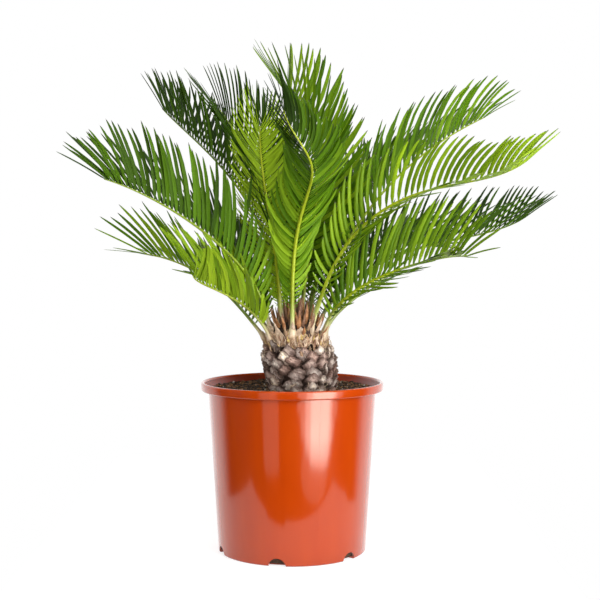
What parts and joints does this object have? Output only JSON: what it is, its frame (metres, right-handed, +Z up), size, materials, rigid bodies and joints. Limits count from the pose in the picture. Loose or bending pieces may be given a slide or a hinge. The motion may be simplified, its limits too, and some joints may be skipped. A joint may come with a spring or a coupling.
{
  "type": "potted sago palm",
  "caption": "Potted sago palm: a short scaly trunk under a full crown of arching, feather-shaped fronds, in a round nursery pot filled with soil.",
  "frame": {"origin": "centre of the pot's flat underside, where it stands on the floor", "axes": "+Z up along the pot's axis; the side shown in the picture faces -Y and +X is to its right"},
  "size_m": [0.8268, 0.7049, 0.8542],
  "materials": {
    "pot_plastic": "smooth moulded plastic, terracotta orange, glossy",
    "potting_soil": "loose dark potting mix with bark and perlite, matte",
    "trunk_bark": "rough grey-brown stubs of old leaf bases, matte",
    "dry_scales": "dry papery bud scales, matte",
    "frond_dark": "stiff leathery leaflets, dark green, satin",
    "frond_mid": "stiff leathery leaflets, mid green, satin",
    "frond_light": "stiff leathery leaflets, light yellow-green, satin"
  },
  "bodies": {
    "root": {"pot": "pot_plastic", "soil": "potting_soil", "trunk": "trunk_bark", "crown_bud": "dry_scales", "frond_front_left_low": "frond_light", "frond_left_low": "frond_mid", "frond_left_long": "frond_mid", "frond_left_steep": "frond_dark", "frond_left_steepest": "frond_mid", "frond_front_broad": "frond_light", "frond_front_curved": "frond_light", "frond_tallest": "frond_light", "frond_right_high": "frond_mid", "frond_right_long": "frond_light", "frond_right_dark": "frond_dark", "frond_right_low": "frond_light", "frond_right_short": "frond_mid", "frond_back_left_high": "frond_dark", "frond_back_high": "frond_mid", "frond_back_right_high": "frond_mid", "frond_back_right_tall": "frond_mid", "frond_back_left": "frond_mid", "frond_back_low": "frond_mid", "frond_back_right_low": "frond_mid", "frond_right_back_low": "frond_mid", "frond_left_back_low": "frond_mid"}
  },
  "joints": []
}
